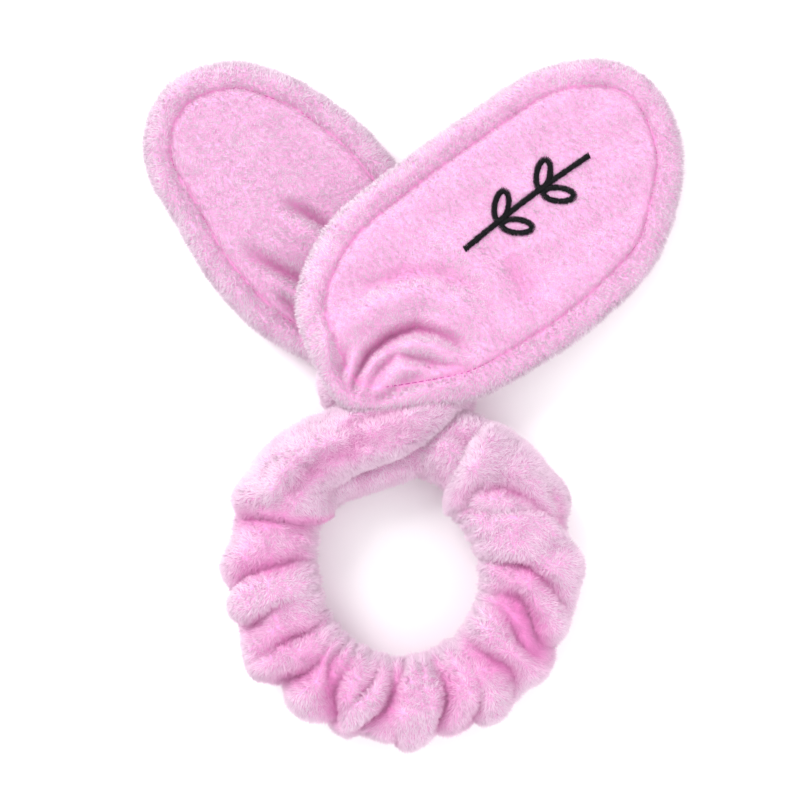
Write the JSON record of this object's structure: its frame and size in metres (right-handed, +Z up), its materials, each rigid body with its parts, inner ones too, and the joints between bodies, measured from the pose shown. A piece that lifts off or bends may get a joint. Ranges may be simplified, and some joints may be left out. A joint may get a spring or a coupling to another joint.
{
  "type": "plush bunny-ear spa headband",
  "caption": "Gathered elastic plush hair band with two bendable wired ears twisted together at the front and a small embroidered sprig on one ear.",
  "frame": {"origin": "bottom centre of the whole headband's box, on the table that it lies on", "axes": "+Y from the nape side of the band towards the ears, +X towards the embroidered ear's side, +Z up, out of the fronts of the ears and along the head opening"},
  "size_m": [0.2476, 0.3146, 0.047],
  "materials": {
    "plush": "soft long-pile coral fleece",
    "pink_thread": "polyester sewing thread",
    "black_thread": "satin-stitched embroidery thread",
    "wadding": "thin polyester wadding",
    "backing": "non-woven embroidery backing",
    "elastic": "woven elastic tape",
    "wire": "plastic-coated soft steel wire",
    "sleeve": "heat-shrunk end sleeve"
  },
  "bodies": {
    "root": {"band_cover_left": "plush", "band_cover_right": "plush", "left_neck_seam": "pink_thread", "right_neck_seam": "pink_thread", "band_elastic": "elastic", "elastic_left_tack": "pink_thread", "elastic_right_tack": "pink_thread"},
    "nape": {"band_cover_nape": "plush"},
    "ears": {"left_neck": "plush", "right_neck": "plush", "right_ear_front_base": "plush", "right_ear_back_base": "plush", "right_ear_wadding_base": "wadding", "right_ear_topstitch_base": "pink_thread", "right_ear_wire": "wire", "right_ear_wire_sleeve": "sleeve", "left_ear_front_base": "plush", "left_ear_back_base": "plush", "left_ear_wadding_base": "wadding", "left_ear_topstitch_base": "pink_thread", "left_ear_wire": "wire", "left_ear_wire_sleeve": "sleeve"},
    "right_ear_tip": {"right_ear_front_tip": "plush", "right_ear_back_tip": "plush", "right_ear_wadding_tip": "wadding", "right_ear_topstitch_tip": "pink_thread", "right_ear_embroidery": "black_thread", "right_ear_embroidery_backing": "backing"},
    "left_ear_tip": {"left_ear_front_tip": "plush", "left_ear_back_tip": "plush", "left_ear_wadding_tip": "wadding", "left_ear_topstitch_tip": "pink_thread"}
  },
  "joints": [
    {"name": "band_stretch", "type": "slide", "parent": "root", "child": "nape", "axis": [0, -1, 0], "range_m": [0, 0.1], "stiffness_N_per_m": 45, "deforming": ["band_elastic"]},
    {"name": "ears_stand", "type": "hinge", "parent": "root", "child": "ears", "pos_m": [-0.00685, -0.03229, 0.024], "axis": [1, 0, 0], "range_deg": [0, 90]},
    {"name": "right_ear_bend", "type": "hinge", "parent": "ears", "child": "right_ear_tip", "pos_m": [0.01428, 0.0538, 0.02689], "axis": [0.6088, -0.7934, 0], "range_deg": [0, 90], "deforming": ["right_ear_wire"]},
    {"name": "left_ear_bend", "type": "hinge", "parent": "ears", "child": "left_ear_tip", "pos_m": [-0.05493, 0.08649, 0.007], "axis": [0.7547, 0.6561, 0], "range_deg": [0, 90], "deforming": ["left_ear_wire"]}
  ]
}
